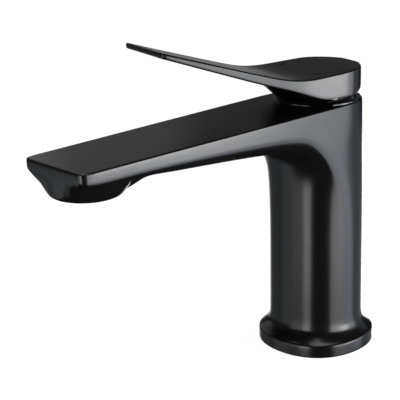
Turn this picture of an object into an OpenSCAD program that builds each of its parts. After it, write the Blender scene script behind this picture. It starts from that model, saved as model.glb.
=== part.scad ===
// Single-lever basin mixer: one cast body with a flat spout, a ceramic cartridge and a paddle lever.
// The origin is on the deck under the column axis, +Z is up and the spout points to -Y.

/* [Body] */
// Height of the flat body top above the deck
body_top = 118; // [116:1:122]
// Half width of the column
column_half = 20.6; // [20.4:0.1:21.4]
// Distance of the rounded corners' centres from the column axis
corner_offset = 2; // [1:0.5:3]
// Half width of the base flange
base_half = 26.3; // [26:0.1:28]
// Height of the upright side of the base flange
flange_side = 5; // [4:0.5:6]
// Height at which the flare has faded into the column
flare_top = 15.5; // [14:0.5:20]
// Radius of the hose cavity under the column
hose_cavity_r = 17; // [15:0.5:17.5]
// Height of the hose cavity
hose_cavity_h = 58; // [50:1:60]

/* [Spout] */
// Distance from the column axis to the tip of the spout
spout_reach = 150.6; // [146:0.2:156]
// Half width of the spout at its tip
tip_half = 18.3; // [17.5:0.1:19]
// Thickness of the spout at its tip
tip_thickness = 4.1; // [3.6:0.1:5]
// Distance from the column axis to the outlet axis
outlet_reach = 134.6; // [133:0.2:136]
// Depth of the outlet boss below the body top
boss_depth = 14.7; // [14.4:0.1:16]
// Radius of the outlet boss at its lower end
boss_r = 13.3; // [13:0.1:14]

/* [Lever] */
// Swing of the lever in the rest pose, towards the hot side when negative
lever_turn = -11; // [-30:1:30]
// Distance from the column axis to the tip of the lever
lever_reach = 90; // [84:1:96]
// Radius of the round end of the handle
disc_r = 19.6; // [19:0.1:20]
// Half width of the lever at its tip
lever_tip_half = 15.7; // [13:0.1:17]
// Height of the handle's underside above the body top
handle_gap = 4; // [4:0.1:5]
// Height of the round end of the handle
disc_height = 10; // [9.5:0.1:11]
// Slope of the upper face of the lever, rise over run
top_slope = 0.311; // [0.28:0.01:0.34]
// Slope of the lower face of the lever, rise over run
under_slope = 0.343; // [0.33:0.01:0.37]

/* [Cartridge] */
// Radius of the chamber that holds the cartridge
chamber_r = 13; // [12.9:0.1:13.2]
// Height of the chamber floor above the deck
chamber_floor = 77; // [76:1:78]
// Radius of the retaining nut's thread
nut_r = 15; // [14.6:0.1:15.2]
// Radius of the ceramic discs' housing bore
housing_bore_r = 11.3; // [11.2:0.1:11.5]
// Radius of the pin that the spindle tilts on
pin_r = 1.5; // [1.3:0.1:1.7]
// Largest swing of the lever to either side of the middle, in degrees
swing_limit = 50; // [30:1:55]

/* [Outlet] */
// Radius of the bore for the aerator
aerator_r = 10.75; // [10.5:0.05:11]

/* [Hidden] */
$fn = 72;
eps = 0.01;
fit = 0.05;

// Finishes
black_metal = [0.08, 0.08, 0.085];
brass = [0.78, 0.62, 0.33];
steel = [0.72, 0.73, 0.75];
ceramic = [0.93, 0.92, 0.88];
white_plastic = [0.88, 0.88, 0.85];
grey_plastic = [0.45, 0.47, 0.5];
rubber = [0.12, 0.12, 0.12];

// Body
column_r = column_half - corner_offset;
flange_soft = 1.2;
flare_start = flange_side + 1.2;
flare_out = base_half - column_half - 0.7;
web_top = chamber_floor;
inlet_x = 7;
inlet_y = -3;
inlet_r = 4.5;
inlet_depth = 12;
stud_y = 11;
stud_r = 3.4;
stud_depth = 14;
port_x = 5.6;
port_r = 2.5;
nut_floor = 100;
nut_recess_top = 113.5;
cap_recess_r = 17.7;
edge_round = 0.8;

// Base seal
seal_in = 21;
seal_out = 24;
seal_depth = 2;

// Spout underside and waterway
neck_y = 117;
neck_depth = 9.4;
under_fall = 0.0068;
fillet_r = 10;
fillet_start = column_half + fillet_r + 2;
channel_half = 8;
channel_low = body_top - 6.4;
channel_high = body_top - 2.4;
riser_r = 2.6;
boss_z = body_top - boss_depth;

// Cartridge levels
pivot_z = body_top - 6;
base_flange_top = chamber_floor + 3;
disc_z = chamber_floor + 6;
fixed_disc_h = 3.5;
moving_disc_h = 3.4;
disc_gap = 0.05;
moving_z = disc_z + fixed_disc_h + disc_gap;
carrier_z = moving_z + moving_disc_h;
carrier_h = 7;
moving_disc_r = 7.3;
ball_r = 2.4;
ball_z = carrier_z + 4.4;
rotor_z = carrier_z + carrier_h + 0.3;
rotor_flange_h = 4.4;
rotor_top = pivot_z + 3.5;
rotor_r = housing_bore_r - 0.15;
neck_r = 8.5;
slot_half_x = 3.8;
slot_half_y = 6.2;
housing_top = rotor_z + rotor_flange_h + 2;
housing_r = chamber_r - 0.1;
nut_z = housing_top;
spindle_half = 3.5;
stem_r = 2.3;
pin_len = 15;
oring_wire = 0.45;
oring_z = housing_top - 7;
limit_z = nut_recess_top;
limit_h = 2;
limit_out_r = 13.4;
limit_in_r = 8.9;
stop_r = 11.6;
tab_half_angle = 9;

// Trim cap and the handle's socket
dome_r = 19.2;
dome_wall = 1.2;
cap_flange_r = 19.8;
cap_flange_h = 0.5;
dome_edge_z = body_top + 5.2;
cavity_r = dome_r + 0.5;
cavity_top = body_top + 8.8;
handle_low = body_top + handle_gap;
disc_top = handle_low + disc_height;
hub_r = 7.6;
hub_low = body_top + 3;
socket_top = disc_top - 2.6;
screw_z = body_top + 9.4;
screw_r = 2;
plug_r = 2.6;
belly = 1.2;
belly_len = 60;
bend_start = 12;
bend_end = 40;
under_start = 10.5;
heel_start = 12.4;
heel_slope = 0.24;
chin_foot_r = 19.3;
chin_foot_z = body_top + 1.4;
chin_rise_z = body_top + 7.5;
chin_out = 8;
mark_x = 12.9;
mark_s = 10.4;
mark_len = 5;
mark_r = 0.55;
mark_depth = 0.25;

// Aerator levels
aerator_low = boss_z + 0.4;
aerator_top = channel_low + 0.6;
aerator_wall = 1.5;
insert_r = aerator_r - fit - aerator_wall;

// ---------- shared shapes ----------

module ring(outer, inner, low, high) {
    difference() {
        translate([0, 0, low]) cylinder(r = outer, h = high - low);
        translate([0, 0, low - 1]) cylinder(r = inner, h = high - low + 2);
    }
}

module oring(mid_r, wire_r, z) {
    translate([0, 0, z]) rotate_extrude() translate([mid_r, 0]) circle(r = wire_r, $fn = 32);
}

// A wedge that opens half_angle to either side of the front, wide enough to cut any ring of the cartridge.
module sector(half_angle, height) {
    linear_extrude(height = height) polygon(concat([[0, 0]],
        [for (a = [-1:0.25:1]) let (t = a * half_angle - 90) 20 * [cos(t), sin(t)]]));
}

// The parts that the lever carries are drawn with the lever straight ahead and turned here.
module turned() { rotate([0, 0, lever_turn]) children(); }

// ---------- body ----------

// Half width of the column and its base at height z, from the rounded corner's centre.
function flare(z) = z < flare_top ? flare_out * pow((flare_top - z) / (flare_top - flare_start), 2) : 0;
foot_steps = 10;
foot_profile = concat(
    [[0, 0], [column_r + base_half - column_half - 0.3, 0], [column_r + base_half - column_half, 0.3]],
    [for (a = [0:30:60]) [column_r + base_half - column_half - flange_soft * (1 - cos(a)),
        flange_side - flange_soft + flange_soft * sin(a)]],
    [for (i = [0:foot_steps]) let (z = flare_start + (flare_top - flare_start) * i / foot_steps)
        [column_r + flare(z), z]],
    [[column_r, body_top - edge_round]],
    [for (a = [30:30:90]) [column_r - edge_round * (1 - cos(a)), body_top - edge_round * (1 - sin(a))]],
    [[0, body_top]]);

module profile_slab(len) {
    // The same profile, mirrored and drawn out straight between two corners.
    rotate([90, 0, 0]) linear_extrude(height = len, center = true)
        union() { polygon(foot_profile); mirror([1, 0]) polygon(foot_profile); }
}

module column() {
    for (x = [-1, 1], y = [-1, 1])
        translate([x * corner_offset, y * corner_offset, 0]) rotate_extrude() polygon(foot_profile);
    for (s = [-1, 1]) {
        translate([s * corner_offset, 0, 0]) profile_slab(2 * corner_offset);
        translate([0, s * corner_offset, 0]) rotate([0, 0, 90]) profile_slab(2 * corner_offset);
    }
}

// Spout outline in plan: half width at distance d from the axis, with small rounded tip corners.
tip_corner = 2.5;
function plan_half(d) =
    column_half + 0.2 + (tip_half - column_half - 0.2) * d / spout_reach
    - (d > spout_reach - tip_corner
        ? tip_corner - sqrt(max(0, pow(tip_corner, 2) - pow(d - spout_reach + tip_corner, 2))) : 0);

// Underside in side view: falls from the neck behind the boss to the column, and rises to the tip.
function under_z(d) =
    d > neck_y
    ? body_top - neck_depth + (neck_depth - tip_thickness) * pow((d - neck_y) / (spout_reach - neck_y), 2)
    : body_top - neck_depth - under_fall * pow(neck_y - d, 1.6)
        - (d < fillet_start ? fillet_r - sqrt(pow(fillet_r, 2) - pow(min(fillet_r, fillet_start - d), 2)) : 0);

// Share of the way from a spout section to a column section.
function blend_in(d) = d > 52 ? 0 : d < 12 ? 1 : (1 - cos(180 * (52 - d) / 40)) / 2;
side_corners = 8;
function spout_section(d) =
    let (w = plan_half(d), low = under_z(d), k = blend_in(d), tall = body_top - low,
        side = min(3.2, tall * 0.8) + (tall > 4 ? 0.35 * (tall - 4) : 0),
        drop = (tall - side) * (1 - k) + (tall - 3) * k,
        across = min(7, tall * 0.75) * (1 - k) + (w - 1) * k,
        edge = min(edge_round, (spout_reach - d) / 2 + 0.4))
    concat(
        [for (a = [90:-45:0]) [w - edge + edge * cos(a), -d, body_top - edge + edge * sin(a)]],
        [for (i = [0:side_corners]) let (a = 90 * i / side_corners)
            [w - across + across * cos(a), -d, low + drop - drop * sin(a)]],
        [for (i = [side_corners:-1:0]) let (a = 90 * i / side_corners)
            [-(w - across + across * cos(a)), -d, low + drop - drop * sin(a)]],
        [for (a = [0:45:90]) [-(w - edge + edge * cos(a)), -d, body_top - edge + edge * sin(a)]]);

tip_steps = [for (a = [0:18:72]) spout_reach - tip_corner + tip_corner * sin(a)];
spout_stations = concat([6, 12, 17, 21.5], [for (d = [24:2:38]) d], [for (d = [43:6:144]) d], tip_steps,
    [spout_reach]);

module loft(sections) {
    n = len(sections[0]);
    last = len(sections) - 1;
    points = [for (s = sections) each s];
    sides = [for (i = [0:last - 1], j = [0:n - 1]) let (k = (j + 1) % n)
        each [[i * n + j, i * n + k, (i + 1) * n + k], [i * n + j, (i + 1) * n + k, (i + 1) * n + j]]];
    ends = [[for (j = [n - 1:-1:0]) j], [for (j = [0:n - 1]) last * n + j]];
    polyhedron(points, concat(sides, ends));
}

module spout() { loft([for (d = spout_stations) spout_section(d)]); }

// Round outlet boss, flaring out into the underside of the tip and cut to the spout's outline.
boss_foot = 1.6;
boss_flare = 7.4;
boss_head = body_top - tip_thickness + 1;
boss_profile = concat(
    [[0, boss_z]],
    [for (a = [0:30:90]) [boss_r - boss_foot * (1 - sin(a)), boss_z + boss_foot * (1 - cos(a))]],
    [for (u = [0.125:0.125:1]) [boss_r + boss_flare * pow(u, 2.2),
        boss_z + boss_foot + u * (boss_head - boss_z - boss_foot)]],
    [[0, boss_head]]);
boss_stations = concat([for (d = [spout_reach - 40:8:spout_reach - 6]) d], tip_steps, [spout_reach]);
boss_plan = concat(
    [for (d = boss_stations) [plan_half(d) - 0.6, 0.6 - d]],
    [for (i = [len(boss_stations) - 1:-1:0]) let (d = boss_stations[i]) [0.6 - plan_half(d), 0.6 - d]]);

module boss() {
    intersection() {
        translate([0, -outlet_reach, 0]) rotate_extrude() polygon(boss_profile);
        translate([0, 0, boss_z - 1]) linear_extrude(height = boss_head - boss_z + 2) polygon(boss_plan);
    }
}

module body() {
    color(black_metal) difference() {
        union() {
            column();
            spout();
            boss();
        }
        translate([0, 0, -1]) cylinder(r = hose_cavity_r, h = hose_cavity_h + 1);
        ring(seal_out + fit, seal_in - fit, -1, seal_depth + fit);
        for (s = [-1, 1]) {
            translate([s * inlet_x, inlet_y, hose_cavity_h - 1]) cylinder(r = inlet_r, h = inlet_depth + 1);
            translate([s * port_x, inlet_y, hose_cavity_h]) cylinder(r = port_r, h = web_top - hose_cavity_h + 1);
        }
        translate([0, stud_y, hose_cavity_h - 1]) cylinder(r = stud_r, h = stud_depth + 1);
        translate([0, 0, web_top]) cylinder(r = chamber_r, h = body_top - web_top + 1);
        translate([0, 0, nut_floor]) cylinder(r = nut_r, h = body_top - nut_floor + 1);
        translate([0, 0, nut_recess_top]) cylinder(r = cap_recess_r, h = body_top - nut_recess_top + 1);
        riser();
        translate([-channel_half, -outlet_reach, channel_low])
            cube([2 * channel_half, outlet_reach - 24, channel_high - channel_low]);
        translate([0, -outlet_reach, boss_z - 1]) cylinder(r = aerator_r, h = channel_low + 0.7 - boss_z + 1);
    }
}

// Slanted waterway from the foot of the chamber up into the flat channel of the spout.
riser_foot = [0, -11.5, web_top + 3.4];
riser_head = [0, -26.5, channel_low + 1];
module riser() {
    run = riser_head - riser_foot;
    translate(riser_foot) rotate([atan2(-run[1], run[2]), 0, 0]) cylinder(r = riser_r, h = norm(run));
}

module base_seal() { color(rubber) ring(seal_out, seal_in, 0, seal_depth); }

// ---------- cartridge, fixed parts ----------

module ports(r, low, high) {
    for (s = [-1, 1]) translate([s * port_x, inlet_y, low - eps]) cylinder(r = r, h = high - low + 2 * eps);
}

seal_wire = 0.8;
module inlet_seals() {
    // Two rings that close the joint between the body's floor and the cartridge base.
    color(rubber) for (s = [-1, 1]) translate([s * port_x, inlet_y, 0])
        ring(port_r + 1.3, port_r + 0.1, chamber_floor, chamber_floor + seal_wire);
}

outlet_hole_y = 5.6;
module cartridge_base() {
    color(white_plastic) difference() {
        union() {
            translate([0, 0, chamber_floor]) cylinder(r = housing_r, h = base_flange_top - chamber_floor);
            translate([0, 0, base_flange_top - eps])
                cylinder(r = housing_bore_r - fit, h = disc_z - 0.9 - base_flange_top);
        }
        ports(port_r, chamber_floor - 1, disc_z);
        for (s = [-1, 1]) translate([s * port_x, inlet_y, chamber_floor - 1])
            cylinder(r = port_r + 1.35, h = 1 + seal_wire + fit);
        // Mixed water comes down at the back and leaves through a slot around the foot.
        translate([0, outlet_hole_y, base_flange_top - 2]) cylinder(r = 2.6, h = disc_z - base_flange_top + 4);
        translate([-2.2, -chamber_r - 1, base_flange_top - 1.6])
            cube([4.4, outlet_hole_y + chamber_r + 1, 2.2]);
    }
}

module disc_seals() {
    // One flat ring seal around each port under the fixed disc.
    low = disc_z - 0.9;
    color(rubber) {
        for (s = [-1, 1]) translate([s * port_x, inlet_y, 0]) ring(port_r + 1, port_r + 0.1, low, disc_z);
        translate([0, outlet_hole_y, 0]) ring(3.7, 2.7, low, disc_z);
    }
}

module fixed_disc() {
    color(ceramic) difference() {
        translate([0, 0, disc_z]) cylinder(r = housing_bore_r - 0.1, h = fixed_disc_h);
        ports(2.1, disc_z - 1, disc_z + fixed_disc_h + 1);
        translate([0, outlet_hole_y, disc_z - 1]) cylinder(r = 2.4, h = fixed_disc_h + 2);
    }
}

module cartridge_housing() {
    lip_z = rotor_z + rotor_flange_h + 0.2;
    color(grey_plastic) difference() {
        translate([0, 0, base_flange_top]) cylinder(r = housing_r, h = housing_top - base_flange_top);
        translate([0, 0, base_flange_top - 1]) cylinder(r = housing_bore_r, h = lip_z - base_flange_top + 1);
        translate([0, 0, lip_z - eps]) cylinder(r = neck_r + 0.3, h = housing_top - lip_z + 1);
        ring(housing_r + 1, chamber_r - 2 * oring_wire - 0.1, oring_z - 0.6, oring_z + 0.6);
    }
}

module cartridge_oring() { color(rubber) oring(chamber_r - oring_wire - 0.02, oring_wire, oring_z); }

module retaining_nut() {
    color(brass) difference() {
        union() {
            translate([0, 0, nut_z]) cylinder(r = nut_r - fit, h = 6);
            translate([0, 0, nut_z + 6 - eps]) cylinder(r = 13.6, h = limit_z - nut_z - 6, $fn = 6);
        }
        translate([0, 0, nut_z - 1]) cylinder(r = neck_r + 0.6, h = limit_z - nut_z + 2);
    }
}

module limit_ring() {
    // Stops the rotor's tab at either end of the swing.
    color("red") difference() {
        ring(limit_out_r, limit_in_r, limit_z, limit_z + limit_h);
        translate([0, 0, limit_z - 1]) intersection() {
            cylinder(r = stop_r + 0.3, h = limit_h + 2);
            sector(swing_limit + tab_half_angle + 1.5, limit_h + 2);
        }
    }
}

module trim_cap() {
    // Ball-shaped cover of the cartridge, with a thin flange on the body's top and a skirt in its recess.
    color(black_metal) difference() {
        union() {
            intersection() {
                translate([0, 0, pivot_z]) sphere(r = dome_r, $fn = 96);
                translate([0, 0, body_top]) cylinder(r = dome_r, h = dome_edge_z - body_top);
            }
            translate([0, 0, body_top]) cylinder(r = cap_flange_r, h = cap_flange_h);
            ring(cap_recess_r - fit, cap_recess_r - 1.6, nut_recess_top + 0.4, body_top + eps);
        }
        intersection() {
            translate([0, 0, pivot_z]) sphere(r = dome_r - dome_wall, $fn = 96);
            translate([0, 0, body_top - 1]) cylinder(r = cap_recess_r - 1.6, h = 10);
        }
        ring(cap_recess_r + 1, cap_recess_r - 0.8, nut_recess_top + 1.5, nut_recess_top + 2.9);
    }
}

module cap_oring() { color(rubber) oring(cap_recess_r - 0.39, 0.36, nut_recess_top + 2.2); }

// ---------- cartridge, moving parts ----------

module moving_disc() {
    turned() color(ceramic) difference() {
        translate([0, 0, moving_z]) cylinder(r = moving_disc_r, h = moving_disc_h);
        // Mixing pocket in the sliding face
        translate([0, 1, moving_z - eps]) cylinder(r = 5, h = 1.6);
    }
}

module disc_carrier() {
    turned() color(white_plastic) difference() {
        translate([0, 0, carrier_z]) cylinder(r = moving_disc_r, h = carrier_h);
        translate([0, 0, carrier_z + 1.6]) cylinder(r = ball_r + 0.1, h = carrier_h);
    }
}

module rotor() {
    neck_slot = [2 * slot_half_x, 2 * slot_half_y, rotor_top - rotor_z + 2];
    turned() color(white_plastic) difference() {
        union() {
            translate([0, 0, rotor_z]) cylinder(r = rotor_r, h = rotor_flange_h);
            translate([0, 0, rotor_z]) cylinder(r = neck_r, h = rotor_top - rotor_z);
            intersection() {
                ring(stop_r, neck_r - 1, limit_z + 0.2, limit_z + limit_h - 0.1);
                sector(tab_half_angle, body_top + 5);
            }
        }
        translate([-neck_slot[0] / 2, -neck_slot[1] / 2, rotor_z - 1]) cube(neck_slot);
        translate([-pin_len, 0, pivot_z]) rotate([0, 90, 0]) cylinder(r = pin_r, h = 2 * pin_len);
    }
}

module spindle_pin() {
    turned() color(steel) translate([-pin_len / 2, 0, pivot_z]) rotate([0, 90, 0])
        cylinder(r = pin_r, h = pin_len);
}

module spindle() {
    eye_low = pivot_z - 4;
    turned() color(steel) difference() {
        union() {
            translate([0, 0, ball_z]) sphere(r = ball_r);
            translate([0, 0, ball_z]) cylinder(r = stem_r - 0.5, h = 3);
            translate([0, 0, ball_z + 3 - eps]) cylinder(r = stem_r, h = eye_low - ball_z - 2);
            translate([-spindle_half, -spindle_half, eye_low])
                cube([2 * spindle_half, 2 * spindle_half, socket_top - 0.3 - eye_low]);
        }
        translate([-10, 0, pivot_z]) rotate([0, 90, 0]) cylinder(r = pin_r + 0.05, h = 20);
    }
}

// ---------- handle ----------

// Half width of the handle at distance s in front of the axis.
function lever_half(s) =
    s < 0 ? sqrt(max(0, disc_r * disc_r - s * s))
    : disc_r + (lever_tip_half - disc_r) * s / lever_reach
        + (s < belly_len ? belly * pow(sin(180 * s / belly_len), 2) : 0);
lever_corner = 1.8;
lever_rear = [for (a = [-90:7.5:0]) [disc_r * cos(a), -disc_r * sin(a)]];
lever_front = [for (s = [4:4:lever_reach - 3]) [lever_half(s), -s]];
lever_tip = [for (a = [0:30:90])
    [lever_tip_half - lever_corner * (1 - cos(a)), -lever_reach + lever_corner * (1 - sin(a))]];
lever_side = concat(lever_rear, lever_front, lever_tip);
lever_plan = concat(lever_side, [for (i = [len(lever_side) - 1:-1:1]) [-lever_side[i][0], lever_side[i][1]]]);

// Heights of the upper and lower faces at distance s.
bend_a = (top_slope + 0.02) / (2 * (bend_end - bend_start));
function flat_z(s) = disc_top - 0.02 * s;
function bend_z(s) = flat_z(s) + bend_a * pow(s - bend_start, 2);
function top_z(s) =
    s < bend_start ? flat_z(s)
    : s < bend_end ? bend_z(s) : bend_z(bend_end) + top_slope * (s - bend_end);
function low_z(s) =
    s < -heel_start ? handle_low + heel_slope * (-s - heel_start)
    : s < under_start ? handle_low : handle_low + under_slope * (s - under_start);

lever_profile = concat(
    [for (s = [-disc_r - 1, -heel_start, under_start, lever_reach + 1]) [-s, low_z(s)]],
    [[-lever_reach - 1, top_z(lever_reach + 1)]],
    [for (s = [bend_end:-2:bend_start]) [-s, top_z(s)]],
    [[disc_r + 1, top_z(-disc_r - 1)]]);

module chin() {
    // Flared apron under the front of the handle, fading out towards its sides.
    steps = 8;
    profile = concat([[0, chin_foot_z - 1]],
        [for (i = [0:steps]) let (u = i / steps)
            [chin_foot_r + chin_out * pow(u, 1.7), chin_foot_z + (chin_rise_z - chin_foot_z) * u]],
        [[0, chin_rise_z]]);
    fade = atan((handle_low - chin_foot_z + 0.2) / 16);
    intersection() {
        rotate_extrude() polygon(profile);
        translate([0, 0, handle_low - 20]) linear_extrude(height = 40) polygon(lever_plan);
        translate([-40, -4, handle_low]) rotate([fade, 0, 0]) translate([0, -60, 0]) cube([80, 60, 20]);
    }
}

module handle() {
    turned() color(black_metal) difference() {
        union() {
            difference() {
                union() {
                    intersection() {
                        linear_extrude(height = 2 * body_top) polygon(lever_plan);
                        rotate([90, 0, 90]) linear_extrude(height = 60, center = true)
                            polygon(lever_profile);
                    }
                    chin();
                }
                intersection() {
                    translate([0, 0, pivot_z]) sphere(r = cavity_r, $fn = 96);
                    cylinder(r = cavity_r + 1, h = cavity_top);
                }
            }
            translate([0, 0, hub_low]) cylinder(r = hub_r, h = cavity_top - hub_low + 1);
        }
        translate([-spindle_half - fit, -spindle_half - fit, hub_low - 1])
            cube([2 * (spindle_half + fit), 2 * (spindle_half + fit), socket_top - hub_low + 1]);
        translate([0, 0, screw_z]) rotate([-90, 0, 0]) cylinder(r = screw_r, h = 30);
        translate([0, disc_r - 2.4, screw_z]) rotate([-90, 0, 0]) cylinder(r = plug_r, h = 10);
        for (s = [-1, 1]) mark_shape(s, mark_depth + 1, -mark_depth, 0);
    }
}

module set_screw() {
    turned() color(steel) difference() {
        translate([0, spindle_half + 0.05, screw_z]) rotate([-90, 0, 0]) cylinder(r = screw_r - fit, h = 5);
        translate([0, spindle_half + 3, screw_z]) rotate([-90, 0, 0]) cylinder(r = 1.15, h = 4, $fn = 6);
    }
}

module screw_plug() {
    turned() color(black_metal) difference() {
        translate([0, disc_r - 2.4, screw_z]) rotate([-90, 0, 0]) cylinder(r = plug_r - fit, h = 10);
        translate([0, 0, screw_z - 10]) ring(disc_r + 10, disc_r - 0.15, 0, 20);
    }
}

// A round-ended dash on the handle's upper face.
module mark_shape(side, height, lift, trim) {
    half = (mark_len / 2 - mark_r);
    translate([side * mark_x, -mark_s, flat_z(mark_s) + lift]) {
        for (e = [-1, 1]) translate([0, e * half, 0]) cylinder(r = mark_r - trim, h = height, $fn = 24);
        translate([-mark_r + trim, -half, 0]) cube([2 * (mark_r - trim), 2 * half, height]);
    }
}

module hot_mark() { turned() color("firebrick") mark_shape(-1, mark_depth, -mark_depth, 0.03); }
module cold_mark() { turned() color("steelblue") mark_shape(1, mark_depth, -mark_depth, 0.03); }

// ---------- outlet ----------

module at_outlet() { translate([0, -outlet_reach, 0]) children(); }

module aerator_housing() {
    color(white_plastic) at_outlet() difference() {
        translate([0, 0, aerator_low]) cylinder(r = aerator_r - fit, h = aerator_top - aerator_low - 1);
        translate([0, 0, aerator_low + 1]) cylinder(r = insert_r, h = 20);
        translate([0, 0, aerator_low - 1]) cylinder(r = insert_r - 1, h = 20);
        for (a = [0:60:300]) rotate([0, 0, a]) translate([insert_r + 0.8, 0, aerator_low - 1])
            cylinder(r = 0.6, h = 1.8, $fn = 16);
    }
}

module aerator_washer() { color(rubber) at_outlet() ring(aerator_r - fit, 7.5, aerator_top - 1, aerator_top); }

screen_low = aerator_low + 1;
screen_h = 1;
insert_low = screen_low + screen_h;
insert_h = 3.4;
module aerator_screen() {
    // Honeycomb grille that the stream leaves through
    pitch = 2.3;
    color(grey_plastic) at_outlet() difference() {
        translate([0, 0, screen_low]) cylinder(r = insert_r - fit, h = screen_h);
        for (i = [-4:4], j = [-4:4]) let (x = pitch * (i + j / 2), y = pitch * j * sqrt(3) / 2)
            if (norm([x, y]) < insert_r - 1.6) translate([x, y, screen_low - 1])
                cylinder(r = 0.95, h = screen_h + 2, $fn = 6);
    }
}

module aerator_insert() {
    color(white_plastic) at_outlet() difference() {
        translate([0, 0, insert_low]) cylinder(r = insert_r - fit, h = insert_h);
        translate([0, 0, insert_low + 1.2]) cylinder(r = insert_r - 1.2, h = insert_h);
        for (ring_r = [2.6, 5.2], a = [0:40:320]) rotate([0, 0, a]) translate([ring_r, 0, insert_low - 1])
            cylinder(r = 0.6, h = 4, $fn = 16);
    }
}

module flow_regulator() {
    low = insert_low + 1.2;
    color("seagreen") at_outlet() ring(insert_r - 1.3, 2.2, low, low + 1.6);
}

body();
base_seal();
inlet_seals();
cartridge_base();
disc_seals();
fixed_disc();
moving_disc();
disc_carrier();
rotor();
spindle();
spindle_pin();
cartridge_housing();
cartridge_oring();
retaining_nut();
limit_ring();
trim_cap();
cap_oring();
aerator_housing();
aerator_washer();
flow_regulator();
aerator_insert();
aerator_screen();
handle();
set_screw();
screw_plug();
hot_mark();
cold_mark();
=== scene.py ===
import math
import bmesh
import bpy
from mathutils import Matrix, Vector


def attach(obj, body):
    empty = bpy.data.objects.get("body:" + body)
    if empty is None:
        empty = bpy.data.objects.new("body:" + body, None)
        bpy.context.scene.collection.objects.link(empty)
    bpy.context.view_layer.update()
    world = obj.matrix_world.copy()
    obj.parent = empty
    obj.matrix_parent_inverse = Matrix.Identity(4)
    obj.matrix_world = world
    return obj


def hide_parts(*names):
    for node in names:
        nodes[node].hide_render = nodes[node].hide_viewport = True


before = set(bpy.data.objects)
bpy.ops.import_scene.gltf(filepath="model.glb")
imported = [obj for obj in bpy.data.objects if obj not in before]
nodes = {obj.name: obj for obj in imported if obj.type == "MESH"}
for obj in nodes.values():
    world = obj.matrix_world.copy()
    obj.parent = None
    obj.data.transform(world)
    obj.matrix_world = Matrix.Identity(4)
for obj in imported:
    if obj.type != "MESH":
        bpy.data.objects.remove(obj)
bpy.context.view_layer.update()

mm = 0.001
print("frame loaded:", len(nodes), "nodes")


# camera, to the right of the spout and a little above it

camera = {
    "place": (0.3745, -0.4231, 0.2523),
    "turn": 47.03,       # degrees to the left of +Y
    "pitch": 17.97,      # degrees down
    "roll": -1.40,
    "lens": 113.93,
    "clip": (0.01, 50),
}


def makeCamera():
    turn, pitch, roll = (math.radians(camera[angle]) for angle in ("turn", "pitch", "roll"))
    ahead = Vector((
        -math.sin(turn) * math.cos(pitch), math.cos(turn) * math.cos(pitch), -math.sin(pitch)))
    level = Vector((math.cos(turn), math.sin(turn), 0))
    upright = level.cross(ahead)
    right = level * math.cos(roll) + upright * math.sin(roll)
    up = upright * math.cos(roll) - level * math.sin(roll)
    data = bpy.data.cameras.new("camera")
    data.lens = camera["lens"]
    data.clip_start, data.clip_end = camera["clip"]
    eye = bpy.data.objects.new("camera", data)
    bpy.context.scene.collection.objects.link(eye)
    facing = Matrix((right, up, -ahead)).transposed().to_4x4()
    eye.matrix_world = Matrix.Translation(camera["place"]) @ facing
    bpy.context.scene.camera = eye


makeCamera()


# small modelling steps, sizes in millimetres

modelling = {
    "near": 0.05,            # a vert this close to a height or a distance counts as on it
    "sharp": 1,              # an edge folded by more than this many radians gets rounded
    "round": {"segments": 2, "profile": 0.6},
    "loopGap": 0.001,        # a looped ring closes on verts this close to it
    "doubleGap": 0.002,      # after the cuts, verts this close to each other are joined
    "smooth": 40,            # degrees, shades smooth below this unless a piece says otherwise
}


def near(first, second):
    return abs(first - second) < modelling["near"]


def deselectAll():
    if bpy.context.object and bpy.context.object.mode == "EDIT":
        bpy.ops.object.mode_set(mode="OBJECT")
    bpy.ops.object.select_all(action="DESELECT")


def openPiece(name):     # the primitive just added becomes the piece, with its place in its mesh
    piece = bpy.context.object
    piece.name = piece.data.name = name
    bpy.ops.object.transform_apply(location=True, rotation=True, scale=True)
    bpy.ops.object.mode_set(mode="EDIT")
    bpy.ops.mesh.select_all(action="SELECT")
    return piece


def closePiece(piece, smoothAngle=modelling["smooth"]):
    bpy.ops.object.mode_set(mode="OBJECT")
    deselectAll()
    piece.select_set(True)
    bpy.context.view_layer.objects.active = piece
    bpy.ops.object.shade_smooth_by_angle(angle=math.radians(smoothAngle))
    return piece


def pick(piece, kind, test):     # selects the verts, edges or faces that pass the test
    bpy.ops.mesh.select_mode(type=kind)
    bpy.ops.mesh.select_all(action="DESELECT")
    shape = bmesh.from_edit_mesh(piece.data)
    parts = {"VERT": shape.verts, "EDGE": shape.edges, "FACE": shape.faces}[kind]
    for part in parts:
        if test(part):
            part.select_set(True)
    bmesh.update_edit_mesh(piece.data)


def pickVerts(piece, test):
    pick(piece, "VERT", lambda v: test(*(v.co / mm)))


def pickFaces(piece, test):      # by middle and normal
    pick(piece, "FACE", lambda f: test(f.calc_center_median() / mm, f.normal))


def inMetres(place):
    return tuple(c * mm for c in place)


def shift(y=0, z=0):
    bpy.ops.transform.translate(value=inMetres((0, y, z)))


def stretch(x=1, y=1, z=1, about=(0, 0, 0)):
    bpy.ops.transform.resize(value=(x, y, z), center_override=inMetres(about))


def pull(y=0, z=0):      # extrudes what is selected
    bpy.ops.mesh.extrude_region_move(TRANSFORM_OT_translate={"value": inMetres((0, y, z))})


def isSharp(edge):
    return len(edge.link_faces) == 2 and edge.calc_face_angle() > modelling["sharp"]


def roundOff(width):     # bevels the selected edges
    bpy.ops.mesh.bevel(offset=width * mm, affect="EDGES", **modelling["round"])


def faceOutward():
    bpy.ops.mesh.select_all(action="SELECT")
    bpy.ops.mesh.normals_make_consistent(inside=False)


# draws the selection, which is the first ring, on through the other (radius, height) rings
def pullRings(rings, x=0, y=0):
    radius, height = rings[0]
    for nextRadius, nextHeight in rings[1:]:
        pull(z=nextHeight - height)
        stretch(nextRadius / radius, nextRadius / radius, 1, (x, y, nextHeight))
        radius, height = nextRadius, nextHeight


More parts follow.
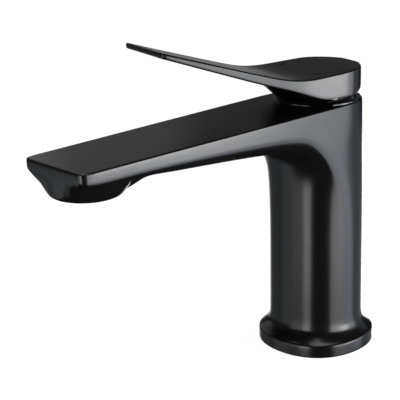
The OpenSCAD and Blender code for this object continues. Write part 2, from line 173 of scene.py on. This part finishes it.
# a round shape from (radius, height) rings, capped at both ends or closed back on its first ring
def turnedRings(name, rings, sides, x=0, y=0, looped=False):
    deselectAll()
    radius, height = rings[0]
    bpy.ops.mesh.primitive_circle_add(
        vertices=sides, radius=radius * mm, location=inMetres((x, y, height)))
    piece = openPiece(name)
    if not looped:
        bpy.ops.mesh.edge_face_add()
        bpy.ops.mesh.select_all(action="SELECT")
    pullRings(rings + rings[:1] if looped else rings, x, y)
    if looped:
        bpy.ops.mesh.select_all(action="SELECT")
        bpy.ops.mesh.remove_doubles(threshold=modelling["loopGap"] * mm)
    faceOutward()
    return closePiece(piece)


def finishWith(piece, kind, **settings):     # adds a modifier and applies it
    deselectAll()
    piece.select_set(True)
    bpy.context.view_layer.objects.active = piece
    modifier = piece.modifiers.new(kind.lower(), kind)
    for setting, value in settings.items():
        setattr(modifier, setting, value)
    bpy.ops.object.modifier_apply(modifier=modifier.name)


def subdivide(piece, levels):
    finishWith(piece, "SUBSURF", levels=levels, render_levels=levels)


def cutWith(piece, *tools, operation="DIFFERENCE"):
    for tool in tools:
        finishWith(piece, "BOOLEAN", object=tool, operation=operation, solver="EXACT")
        bpy.data.objects.remove(tool)


def tidyMesh(piece, smoothAngle):
    deselectAll()
    piece.select_set(True)
    bpy.context.view_layer.objects.active = piece
    bpy.ops.object.mode_set(mode="EDIT")
    bpy.ops.mesh.select_all(action="SELECT")
    bpy.ops.mesh.remove_doubles(threshold=modelling["doubleGap"] * mm)
    closePiece(piece, smoothAngle)


# body: flared base, rounded column and flat spout, cast as one piece

bodyShape = {
    "top": 118,
    "sides": 16,
    "hull": 1.0193,      # the cage stands this much outside the finished column
    "halfDiagonal": 1.021,
    "diagonal": 1.05,    # makes the round section a little square
    "rings": [           # half width and height, from the deck up
        (25.6, 0), (26.3, 0), (26.3, 0.7), (26.3, 4.6), (26.25, 5.9), (25.3, 6.5), (23.6, 8.2),
        (21.75, 10.4), (21.1, 13), (21.0, 17), (20.95, 34), (20.85, 56), (20.75, 75), (20.7, 90),
        (20.7, 106), (20.7, 118),
    ],
    "spoutFrom": 90,     # the column's front above this height is drawn out into the spout
    "stations": [        # distance, half width, depth, lift of the side's foot, lift of the line beside it
        (24, 20.75, 20.8, 7.6, 3.4), (34, 20.65, 17.1, 7.4, 3.2), (50, 20.4, 14.9, 6.4, 2.8),
        (70, 20.05, 13.0, 5.4, 2.4), (90, 19.7, 11.3, 4.8, 2.0), (106, 19.35, 10.0, 4.0, 1.6),
        (117, 19.15, 8.4, 2.6, 0.9), (126, 19.0, 7.1, 1.2, 0.3), (134.6, 18.85, 6.7, 0.8, 0.0),
        (142, 18.75, 6.6, 0.8, 0.0), (146.6, 18.65, 6.0, 0.7, 0.0), (149.5, 18.0, 5.3, 0.5, 0.0),
        (150.6, 16.0, 5.0, 0.3, 0.0),
    ],
    "outerLine": 0.97,   # the two lines lifted at each station: past this share of the half width,
    "nextLine": 0.85,    # and from this share to the first
    # how the spout's lower side edge turns down into the column: height, from and to depth, way
    # forward and way down
    "bend": [(75, -1, 1, 1.8, 0), (75, -10, -1, 1.2, 0), (90, -1, 1, 6.2, 0), (90, -10, -1, 4.2, 0.6)],
    "bendFrom": 16,      # half width past which a vert is on the column's side
    # height and way forward: the column's front leans out a little under the spout
    "frontFillet": [(75, 0.5), (90, 1.3)],
    "front": (17, -22, -5),      # that front: largest half width, from and to depth
    # height and share of the width: the column's back narrows towards the top
    "rearDraft": [(90, 0.985), (106, 0.972), (118, 0.965)],
    "rearFrom": 5,       # depth past which a vert is on the column's back
    "edge": 0.8,         # the round along the flat top
    "levels": 3,
    "smooth": 35,
}
outletShape = {
    "distance": 134.6,
    "sides": 24,
    "hull": 1.0115,
    "patch": (117, 151),     # the part of the spout's underside that flows down into the outlet
    "patchHalf": 17,
    "rings": [(15.4, 104.95), (14.35, 103.95), (13.2, 103.6), (11.9, 103.55)],
}
# hollows of the body: (radius, height) rings, sides, x and y, and whether the rings close into a loop
bodyHollows = {
    "hose_cavity": ([(17, -1), (17, 58)], 96, 0, 0, False),
    "seal_groove": ([(20.95, -1), (24.05, -1), (24.05, 2.05), (20.95, 2.05)], 96, 0, 0, True),
    "hot_inlet": ([(4.5, 57), (4.5, 70)], 48, -7, -3, False),
    "cold_inlet": ([(4.5, 57), (4.5, 70)], 48, 7, -3, False),
    "stud_hole": ([(3.4, 57), (3.4, 72)], 48, 0, 11, False),
    "chamber": ([(13, 77), (13, 100), (15, 100), (15, 113.5), (17.7, 113.5), (17.7, 119)], 96, 0, 0, False),
    "outlet_bore": ([(10.75, 102), (10.75, 112.3)], 96, 0, -134.6, False),
}


def makeColumn():
    deselectAll()
    radius = bodyShape["rings"][0][0] * bodyShape["hull"]
    bpy.ops.mesh.primitive_circle_add(
        vertices=bodyShape["sides"], radius=radius * mm, location=(0, 0, 0))
    piece = openPiece("mixer_body")
    # the verts off the two axes go out, the four on the diagonals by more
    offAxis = lambda x, y: abs(math.sin(2 * math.atan2(y, x)))
    pickVerts(piece, lambda x, y, z: offAxis(x, y) > 0.1)
    stretch(bodyShape["halfDiagonal"], bodyShape["halfDiagonal"])
    pickVerts(piece, lambda x, y, z: offAxis(x, y) > 0.9)
    more = bodyShape["diagonal"] / bodyShape["halfDiagonal"]
    stretch(more, more)
    bpy.ops.mesh.select_all(action="SELECT")
    bpy.ops.mesh.edge_face_add()
    bpy.ops.mesh.select_all(action="SELECT")
    pullRings(bodyShape["rings"])
    faceOutward()
    return piece


def drawSpout(piece):
    top = bodyShape["top"]
    depth = top - bodyShape["spoutFrom"]
    halfWidth = bodyShape["rings"][-1][0] * bodyShape["hull"]
    reach = 0
    pickFaces(piece, lambda at, normal: at.z > bodyShape["spoutFrom"] and normal.y < -0.1)
    for distance, nextHalf, nextDepth, _, _ in bodyShape["stations"]:
        pull(y=reach - distance)
        stretch(nextHalf / halfWidth, 1, nextDepth / depth, (0, 0, top))
        stretch(1, 0, 1, (0, -distance, 0))
        reach, halfWidth, depth = distance, nextHalf, nextDepth
    # the lower side edge is rounded off by lifting its two outer lines at each station
    for distance, half, depth, sideLift, nextLift in bodyShape["stations"]:
        low = top - depth
        outer, inner = half * bodyShape["outerLine"], half * bodyShape["nextLine"]
        onFoot = lambda y, z: near(y, -distance) and z < low + modelling["near"]
        pickVerts(piece, lambda x, y, z: onFoot(y, z) and abs(x) > outer)
        shift(z=sideLift)
        pickVerts(piece, lambda x, y, z: onFoot(y, z) and inner < abs(x) < outer)
        shift(z=nextLift)
    for height, share in bodyShape["rearDraft"]:
        pickVerts(piece, lambda x, y, z: near(z, height) and y > bodyShape["rearFrom"])
        stretch(share, share)
    for height, start, end, forward, drop in bodyShape["bend"]:
        pickVerts(piece, lambda x, y, z: near(z, height) and abs(x) > bodyShape["bendFrom"]
                  and start < y < end)
        shift(y=-forward, z=-drop)
    half, start, end = bodyShape["front"]
    for height, forward in bodyShape["frontFillet"]:
        pickVerts(piece, lambda x, y, z: near(z, height) and abs(x) < half and start < y < end)
        shift(y=-forward)


# the underside near the tip is opened and flows down into a round boss
def drawOutlet(piece):
    start, end = outletShape["patch"]
    centre, half = outletShape["distance"], outletShape["patchHalf"]
    pickFaces(piece, lambda at, normal: -end < at.y < -start and normal.z < -0.5 and abs(at.x) < half)
    bpy.ops.mesh.delete(type="FACE")
    radius, height = outletShape["rings"][0]
    bpy.ops.mesh.select_all(action="DESELECT")
    bpy.ops.mesh.primitive_circle_add(
        vertices=outletShape["sides"], radius=radius * outletShape["hull"] * mm,
        location=inMetres((0, -centre, height)))
    pick(piece, "EDGE", lambda e: e.is_boundary or not e.link_faces)
    bpy.ops.mesh.bridge_edge_loops(number_cuts=2, interpolation="LINEAR")
    pick(piece, "EDGE", lambda e: e.is_boundary)
    pullRings(outletShape["rings"], 0, -centre)
    bpy.ops.mesh.edge_face_add()


def bevelTop(piece):     # a small round along the outline of the flat top
    pick(piece, "EDGE", lambda e: all(near(v.co.z / mm, bodyShape["top"]) for v in e.verts) and isSharp(e))
    roundOff(bodyShape["edge"])


def makeBody():
    piece = makeColumn()
    drawSpout(piece)
    drawOutlet(piece)
    bevelTop(piece)
    faceOutward()
    closePiece(piece)
    subdivide(piece, bodyShape["levels"])
    cutWith(piece, *[turnedRings(name, *hollow) for name, hollow in bodyHollows.items()])
    tidyMesh(piece, bodyShape["smooth"])
    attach(piece, "mixer_body")
    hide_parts("body")
    print("body made:", len(piece.data.polygons), "faces")
    return piece


# handle: a round disc that runs out into a rising paddle

handleShape = {
    "turn": -11,         # degrees, the way the lever is left standing
    "discRadius": 19.9,
    "hull": 1.012,
    "rearAngles": (10, 26, 42, 58, 74),
    "rearTop": 132.7,
    "columns": 8,
    "underside": 121.0,
    "heel": (9.4, 0.3),      # past this distance behind the axis the underside rises, for the lift
    "stations": [        # distance, half width, underside, top
        (0, 19.9, 120.95, 132.4), (6, 20.15, 120.7, 132.25), (12, 20.5, 121.65, 132.0),
        (18, 20.65, 123.9, 131.9), (26, 20.3, 127.0, 132.5), (34, 19.5, 129.6, 134.2),
        (42, 18.6, 132.2, 136.7), (52, 17.8, 135.7, 139.8), (64, 17.1, 140.0, 143.6),
        (77, 16.4, 144.7, 147.7), (86.5, 15.9, 148.15, 150.8), (89.2, 15.6, 149.1, 151.7),
        (90, 14.6, 149.35, 151.95),
    ],
    "flat": 5,           # an edge that climbs less than this lies along the outline
    "edge": 0.9,
    "levels": 3,
    "smooth": 35,
}
# a straight flare from the foot up, cut at its sides, its back and its sloping underside
chinShape = {
    "foot": (18.9, 119.4), "skirt": 0.4, "rise": 6.6, "out": 7.6, "steps": 8, "sides": 96,
    "half": 20.0, "back": -4, "slope": 9.9,
}
socketShape = {
    "pivot": 112, "cavity": 19.7, "roof": 126.8, "hub": 7.6, "hubFoot": 121, "hubTop": 130,
    "square": 7.1, "squareFoot": 118, "squareTop": 129.4,
    "screwHeight": 127.4, "screw": 2, "plug": 2.6, "plugFrom": 17.5, "past": 24.9,
}
markShape = {
    "side": 12.9, "ahead": 10.4, "radius": 0.58, "spread": 1.95,     # from the middle to either end's centre
    "foot": 131.542, "tall": 4, "sides": 32,
}


# distance ahead of the axis, half width, underside and top of each row of the cage, from the rear
def handleRows():
    radius = handleShape["discRadius"] * handleShape["hull"]
    low, high = handleShape["underside"], handleShape["rearTop"]
    heel, slope = handleShape["heel"]
    rows = []
    for angle in handleShape["rearAngles"]:
        turn = math.radians(angle)
        behind = radius * math.cos(turn)
        rows.append((-behind, radius * math.sin(turn), low + slope * max(0, behind - heel), high))
    return rows + handleShape["stations"]


def makePaddle():
    rows = handleRows()
    deselectAll()
    bpy.ops.mesh.primitive_grid_add(
        x_subdivisions=handleShape["columns"], y_subdivisions=len(rows) - 1, size=2 * mm,
        location=(0, 0, 0))
    piece = openPiece("lever_handle")
    step = 2 / (len(rows) - 1)
    apart, lifted, thick = 1000, 500, 1000       # the rows stand far apart while they are picked
    stretch(1, apart, 1)
    for i, (ahead, half, low, _) in enumerate(rows):
        place = apart * (1 - step * i)
        pickVerts(piece, lambda x, y, z: abs(y - place) < 1 and z < 1)
        stretch(half, 1, 1)
        shift(y=-ahead - place, z=low + lifted)      # out of the way of the rows that wait
    bpy.ops.mesh.select_all(action="SELECT")
    shift(z=-lifted)
    pull(z=thick)
    for ahead, _, low, high in rows:
        pickVerts(piece, lambda x, y, z: near(y, -ahead) and z > thick / 2)
        shift(z=high - low - thick)
    faceOutward()
    flat = handleShape["flat"] * mm
    climb = lambda e: abs(e.verts[0].co.z - e.verts[1].co.z)
    pick(piece, "EDGE", lambda e: isSharp(e) and climb(e) < flat and e.verts[0].co.xy != e.verts[1].co.xy)
    roundOff(handleShape["edge"])
    closePiece(piece)
    subdivide(piece, handleShape["levels"])
    return piece


# the flared apron under the front of the handle
def makeChin():
    radius, foot = chinShape["foot"]
    steps = chinShape["steps"]
    shares = [i / steps for i in range(steps + 1)]
    rings = [(radius, foot - chinShape["skirt"])]
    rings += [(radius + chinShape["out"] * share, foot + chinShape["rise"] * share) for share in shares]
    piece = turnedRings("chin", rings, chinShape["sides"])
    half, back, slope = chinShape["half"], chinShape["back"], math.radians(chinShape["slope"])
    bpy.ops.object.mode_set(mode="EDIT")
    cuts = [
        ((half, 0, 0), (1, 0, 0)), ((-half, 0, 0), (-1, 0, 0)), ((0, back, 0), (0, 1, 0)),
        ((0, back, handleShape["underside"]), (0, math.sin(slope), -math.cos(slope))),
    ]
    for place, outward in cuts:
        bpy.ops.mesh.select_all(action="SELECT")
        bpy.ops.mesh.bisect(plane_co=inMetres(place), plane_no=outward, use_fill=True, clear_outer=True)
    return closePiece(piece)


# the ball-shaped hollow over the cover, with the hub left standing in it
def makeSocketCutter():
    deselectAll()
    bpy.ops.mesh.primitive_uv_sphere_add(
        segments=96, ring_count=48, radius=socketShape["cavity"] * mm,
        location=inMetres((0, 0, socketShape["pivot"])))
    hollow = openPiece("hollow")
    bpy.ops.mesh.bisect(
        plane_co=inMetres((0, 0, socketShape["roof"])), plane_no=(0, 0, 1), use_fill=True, clear_outer=True)
    closePiece(hollow)
    hub = socketShape["hub"]
    cutWith(hollow, turnedRings("hub", [(hub, socketShape["hubFoot"]), (hub, socketShape["hubTop"])], 64))
    return hollow


def squareTool():        # the hole for the spindle
    low, high, side = (socketShape[key] for key in ("squareFoot", "squareTop", "square"))
    deselectAll()
    bpy.ops.mesh.primitive_cube_add(
        size=mm, location=inMetres((0, 0, (low + high) / 2)), scale=(side, side, high - low))
    return closePiece(openPiece("square"))


def screwTool(name, radius, start):      # a bore along Y at the screw's height, out through the back
    end = socketShape["past"]
    deselectAll()
    bpy.ops.mesh.primitive_cylinder_add(
        vertices=48, radius=radius * mm, depth=(end - start) * mm,
        location=inMetres((0, (start + end) / 2, socketShape["screwHeight"])), rotation=(math.pi / 2, 0, 0))
    return closePiece(openPiece(name))


def dashTool(side):      # the recess of one of the two coloured dashes
    ahead, tall = markShape["ahead"], markShape["tall"]
    deselectAll()
    bpy.ops.mesh.primitive_cylinder_add(
        vertices=markShape["sides"], radius=markShape["radius"] * mm, depth=tall * mm,
        location=inMetres((side * markShape["side"], -ahead, markShape["foot"] + tall / 2)))
    piece = openPiece("dash")
    for way in (-1, 1):
        pickVerts(piece, lambda x, y, z: (y + ahead) * way > 0.01)
        shift(y=way * markShape["spread"])
    return closePiece(piece)


def makeHandle():
    piece = makePaddle()
    cutWith(piece, makeChin(), operation="UNION")
    cutWith(
        piece,
        makeSocketCutter(),
        squareTool(),
        screwTool("screw_bore", socketShape["screw"], 0),
        screwTool("plug_seat", socketShape["plug"], socketShape["plugFrom"]),
        dashTool(-1),
        dashTool(1),
    )
    tidyMesh(piece, handleShape["smooth"])
    piece.rotation_euler.z = math.radians(handleShape["turn"])
    bpy.ops.object.transform_apply(location=False, rotation=True, scale=False)
    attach(piece, "lever")
    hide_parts("handle")
    print("handle made:", len(piece.data.polygons), "faces")
    return piece


# ball-shaped cover under the handle, with its thin bright-edged flange

coverShape = {
    "skirt": (16.1, 17.65), "skirtFoot": 113.9, "seat": 118, "gap": 0.02,
    # distance in from the flange's radius and height above the seat, from its foot to its top
    "flange": 19.8, "flangeEdge": [(0.05, 0.02), (0, 0.07), (0.09, 0.58), (0.17, 0.66)],
    "pivot": 112, "ball": 19.2, "wall": 1.2, "top": 123.2,
    "steps": 12, "sides": 128, "smooth": 30,
}


def ballRings(radius, low):      # from this height up to the cover's top
    pivot, high, steps = (coverShape[key] for key in ("pivot", "top", "steps"))
    heights = [low + (high - low) * i / steps for i in range(steps + 1)]
    return [(math.sqrt(radius ** 2 - (z - pivot) ** 2), z) for z in heights]


def makeCover():
    inner, outer = coverShape["skirt"]
    foot, seat, gap = coverShape["skirtFoot"], coverShape["seat"], coverShape["gap"]
    edge = [(coverShape["flange"] - way, seat + height) for way, height in coverShape["flangeEdge"]]
    ball, thin = coverShape["ball"], coverShape["ball"] - coverShape["wall"]
    ballFoot = edge[-1][1] + gap
    insideFoot = coverShape["pivot"] + math.sqrt(thin ** 2 - inner ** 2)
    rings = [(inner, foot), (outer, foot), (outer, seat + gap)] + edge
    rings += ballRings(ball, ballFoot) + ballRings(thin, insideFoot)[::-1]
    piece = turnedRings("cartridge_cover", rings, coverShape["sides"], looped=True)
    closePiece(piece, coverShape["smooth"])
    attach(piece, "mixer_body")
    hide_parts("trim_cap")
    print("cover made:", len(piece.data.polygons), "faces")
    return piece


# finishes

coats = {
    "detail": 3,
    "cloud": 12,                     # the gloss varies over patches this many grains wide
    # the black coating: two tones, range of roughness, size of the grain and its height
    "dark": (0.0022, 0.0022, 0.0024), "light": (0.0034, 0.0034, 0.0038),
    "gloss": (0.2, 0.26), "tones": 60, "grain": 2600, "relief": 0.0035,
    # the other finishes: share of the darker tone, its patch size and the range of roughness
    "darker": 0.9, "patch": 9, "spread": (-0.04, 0.05),
}


def newFinish(name, colour, roughness, metallic=0.0):
    finish = bpy.data.materials.new(name)
    finish.use_nodes = True
    shader = finish.node_tree.nodes["Principled BSDF"]
    shader.inputs["Base Color"].default_value = (*colour, 1)
    shader.inputs["Roughness"].default_value = roughness
    shader.inputs["Metallic"].default_value = metallic
    return finish, shader


# fine relief from noise on Object coordinates, and a second, broader noise that varies the gloss
def addGrain(finish, shader, scale, height, roughnessRange, stretchBy=(1, 1, 1)):
    tree = finish.node_tree
    place = tree.nodes.new("ShaderNodeTexCoord")
    mapping = tree.nodes.new("ShaderNodeMapping")
    mapping.inputs["Scale"].default_value = stretchBy
    tree.links.new(place.outputs["Object"], mapping.inputs["Vector"])
    grain = tree.nodes.new("ShaderNodeTexNoise")
    grain.inputs["Scale"].default_value = scale
    grain.inputs["Detail"].default_value = coats["detail"]
    tree.links.new(mapping.outputs["Vector"], grain.inputs["Vector"])
    bump = tree.nodes.new("ShaderNodeBump")
    bump.inputs["Strength"].default_value = 1
    bump.inputs["Distance"].default_value = height * mm
    tree.links.new(grain.outputs["Fac"], bump.inputs["Height"])
    tree.links.new(bump.outputs["Normal"], shader.inputs["Normal"])
    cloud = tree.nodes.new("ShaderNodeTexNoise")
    cloud.inputs["Scale"].default_value = scale / coats["cloud"]
    tree.links.new(mapping.outputs["Vector"], cloud.inputs["Vector"])
    spread = tree.nodes.new("ShaderNodeMapRange")
    spread.inputs["To Min"].default_value, spread.inputs["To Max"].default_value = roughnessRange
    tree.links.new(cloud.outputs["Fac"], spread.inputs["Value"])
    tree.links.new(spread.outputs["Result"], shader.inputs["Roughness"])
    return finish


def mottle(finish, shader, first, second, scale):    # two close tones, mixed by noise
    tree = finish.node_tree
    place = tree.nodes.new("ShaderNodeTexCoord")
    cloud = tree.nodes.new("ShaderNodeTexNoise")
    cloud.inputs["Scale"].default_value = scale
    tones = tree.nodes.new("ShaderNodeValToRGB")
    tones.color_ramp.elements[0].color = (*first, 1)
    tones.color_ramp.elements[1].color = (*second, 1)
    tree.links.new(place.outputs["Object"], cloud.inputs["Vector"])
    tree.links.new(cloud.outputs["Fac"], tones.inputs["Fac"])
    tree.links.new(tones.outputs["Color"], shader.inputs["Base Color"])


def satinBlack(name, glossShift=0.0):
    low, high = coats["gloss"]
    finish, shader = newFinish(name, coats["dark"], high)
    mottle(finish, shader, coats["dark"], coats["light"], coats["tones"])
    return addGrain(finish, shader, coats["grain"], coats["relief"], (low + glossShift, high + glossShift))


def plainFinish(name, colour, roughness, metallic=0.0, scale=900, relief=0.004, drag=(1, 1, 1)):
    finish, shader = newFinish(name, colour, roughness, metallic)
    darker = tuple(c * coats["darker"] for c in colour)
    mottle(finish, shader, darker, colour, scale / coats["patch"])
    smoother, rougher = (roughness + change for change in coats["spread"])
    return addGrain(finish, shader, scale, relief, (smoother, rougher), drag)


def dressNode(name, finish):
    for used in nodes[name].material_slots:
        used.material = finish
    if not nodes[name].material_slots:
        nodes[name].data.materials.append(finish)


def dressPiece(piece, finish):
    piece.data.materials.clear()
    piece.data.materials.append(finish)


# build the pieces

body = makeBody()
handle = makeHandle()
cover = makeCover()

dressPiece(body, satinBlack("black_coat"))
dressPiece(handle, satinBlack("black_coat_handle"))
dressPiece(cover, satinBlack("black_cover", -0.12))

rubber = plainFinish("moulded_rubber", (0.02, 0.02, 0.02), 0.6)
whitePlastic = plainFinish("white_acetal", (0.78, 0.78, 0.74), 0.38)
greyPlastic = plainFinish("grey_plastic", (0.2, 0.21, 0.23), 0.42)
steel = plainFinish("turned_steel", (0.62, 0.63, 0.65), 0.24, 1.0, 1500, 0.003, (1, 1, 12))
turnedBrass = plainFinish("turned_brass", (0.75, 0.55, 0.24), 0.28, 1.0, 1500, 0.003, (1, 1, 12))
lappedCeramic = plainFinish("lapped_ceramic", (0.86, 0.85, 0.8), 0.12, 0.0, 2000, 0.001)
finishes = {
    "base_seal": rubber, "inlet_seals": rubber, "disc_seals": rubber, "cartridge_oring": rubber,
    "cap_oring": rubber, "aerator_washer": rubber,
    "cartridge_base": whitePlastic, "disc_carrier": whitePlastic, "rotor": whitePlastic,
    "aerator_housing": whitePlastic, "aerator_insert": whitePlastic,
    "cartridge_housing": greyPlastic, "aerator_screen": greyPlastic,
    "spindle": steel, "spindle_pin": steel, "set_screw": steel, "retaining_nut": turnedBrass,
    "fixed_disc": lappedCeramic, "moving_disc": lappedCeramic,
    "limit_ring": plainFinish("red_plastic", (0.5, 0.03, 0.02), 0.4),
    "flow_regulator": plainFinish("green_rubber", (0.03, 0.16, 0.08), 0.5),
    "screw_plug": satinBlack("black_plug", 0.08),
    "hot_mark": plainFinish("red_enamel", (0.14, 0.03, 0.025), 0.3, 0.0, 1200, 0.002),
    "cold_mark": plainFinish("blue_enamel", (0.05, 0.055, 0.13), 0.3, 0.0, 1200, 0.002),
}
for name, finish in finishes.items():
    dressNode(name, finish)
print("finishes on", len(finishes), "nodes")


# floor and soft studio light

studio = {
    "floor": (0.24, 0.24, 0.24),
    "floorSize": 12,
    "floorRoughness": 0.9,
    "floorGlow": 0.93,
    "fill": 0.012,
    "backdrop": 1.02,
    # distance, from and to azimuth (from the front towards the right), lowest and highest point,
    # radiance, colour
    "boxes": {
        "right_top": (0.6, 84, 108, -0.06, 0.24, 5.2, (0.98, 1.0, 1.02)),
        "right_top_far": (0.6, 108, 128, -0.06, 0.24, 9.5, (1.0, 1.0, 1.01)),
        "right_box": (0.6, 84, 128, -0.10, -0.06, 6.0, (1.0, 1.0, 1.03)),
        "right_foot": (0.6, 84, 120, -0.14, -0.10, 3.9, (1.0, 1.0, 1.03)),
        "right_low": (0.6, 84, 120, -0.18, -0.14, 3.0, (1.0, 1.0, 1.03)),
        "right_lowest": (0.6, 84, 120, -0.28, -0.18, 2.2, (1.0, 1.0, 1.03)),
        "right_edge": (0.6, 128, 146, -0.10, 0.24, 3.0, (0.95, 0.98, 1.06)),
        "right_edge_low": (0.6, 120, 146, -0.28, -0.10, 2.0, (0.88, 0.95, 1.1)),
        "right_end": (0.6, 146, 176, -0.28, 0.24, 0.3, (0.85, 0.95, 1.1)),
        "front_strip": (1.0, 4, 23, -0.40, 0.2, 4.0, (1.0, 1.0, 1.03)),
        "front_fade": (1.0, -24, 4, -0.40, 0.2, 1.15, (1.0, 1.0, 1.03)),
        "left_near": (1.0, -50, -24, -0.6, -0.12, 0.6, (0.9, 0.98, 1.0)),
        "left_wall": (1.0, -78, -50, -0.6, -0.12, 0.22, (0.9, 0.98, 1.0)),
        "left_back": (1.0, 248, 282, -0.6, -0.08, 0.14, (1.0, 1.0, 1.0)),
        "left_top": (1.0, -78, -24, -0.12, 0.5, 0.08, (1.0, 1.0, 1.0)),
        "back_left": (1.5, 238, 284, 0.2, 1.2, 0.40, (1.0, 1.0, 1.0)),
        "back_near": (1.5, 230, 238, 0.2, 1.2, 0.18, (1.0, 1.0, 1.0)),
        "back_middle": (1.5, 205, 230, 0.2, 1.2, 0.07, (1.0, 1.0, 1.0)),
        "back_foot": (1.5, 205, 240, -0.30, 0.2, 0.36, (1.0, 1.0, 1.0)),
        "rear_strip": (1.5, 200, 216, -0.9, -0.30, 4.0, (1.0, 1.0, 1.0)),
        "rear_soft": (1.5, 216, 250, -0.9, -0.32, 0.9, (0.95, 0.98, 1.0)),
        "rear_side": (1.5, 176, 200, -0.9, -0.32, 0.3, (1.0, 0.98, 0.96)),
    },
    "topLight": (2.0, 1.6, 2.5),     # height, size and radiance
}


def makeFloor():
    deselectAll()
    bpy.ops.mesh.primitive_plane_add(size=studio["floorSize"], location=(0, 0, 0))
    floor = closePiece(openPiece("floor"))
    finish, shader = newFinish("floor_paper", studio["floor"], studio["floorRoughness"])
    shader.inputs["Emission Color"].default_value = (1, 1, 1, 1)
    shader.inputs["Emission Strength"].default_value = studio["floorGlow"]
    shader.inputs["Specular IOR Level"].default_value = 0
    dressPiece(floor, finish)
    floor.visible_glossy = False
    floor.visible_shadow = False


def lightBox(name, place, aim, width, height, radiance, colour=(1, 1, 1)):
    data = bpy.data.lights.new(name, "AREA")
    data.shape = "RECTANGLE"
    data.size, data.size_y = width, height
    data.color = colour
    data.energy = radiance * width * height * math.pi
    lamp = bpy.data.objects.new(name, data)
    bpy.context.scene.collection.objects.link(lamp)
    lamp.location = place
    lamp.rotation_euler = (Vector(aim) - Vector(place)).to_track_quat("-Z", "Y").to_euler()
    lamp.visible_camera = False


def makeLight():
    for name, (distance, start, end, low, high, radiance, colour) in studio["boxes"].items():
        turn = math.radians((start + end) / 2)
        width = 2 * distance * math.tan(math.radians((end - start) / 2))
        middle = (low + high) / 2
        place = (distance * math.sin(turn), -distance * math.cos(turn), middle)
        lightBox(name, place, (0, 0, middle), width, high - low, radiance, colour)
    height, size, radiance = studio["topLight"]
    lightBox("top_box", (0, 0, height), (0, 0, 0), size, size, radiance)
    world = bpy.data.worlds.new("studio")
    bpy.context.scene.world = world
    world.use_nodes = True
    tree = world.node_tree
    fill = tree.nodes["Background"]
    fill.inputs["Strength"].default_value = studio["fill"]
    fill.inputs["Color"].default_value = (1, 1, 1, 1)
    paper = tree.nodes.new("ShaderNodeBackground")
    paper.inputs["Strength"].default_value = studio["backdrop"]
    ray = tree.nodes.new("ShaderNodeLightPath")
    mix = tree.nodes.new("ShaderNodeMixShader")
    tree.links.new(ray.outputs["Is Camera Ray"], mix.inputs["Fac"])
    tree.links.new(fill.outputs["Background"], mix.inputs[1])
    tree.links.new(paper.outputs["Background"], mix.inputs[2])
    tree.links.new(mix.outputs["Shader"], tree.nodes["World Output"].inputs["Surface"])
    bpy.context.scene.view_settings.view_transform = "Standard"


makeFloor()
makeLight()
deselectAll()
print("floor and light made")
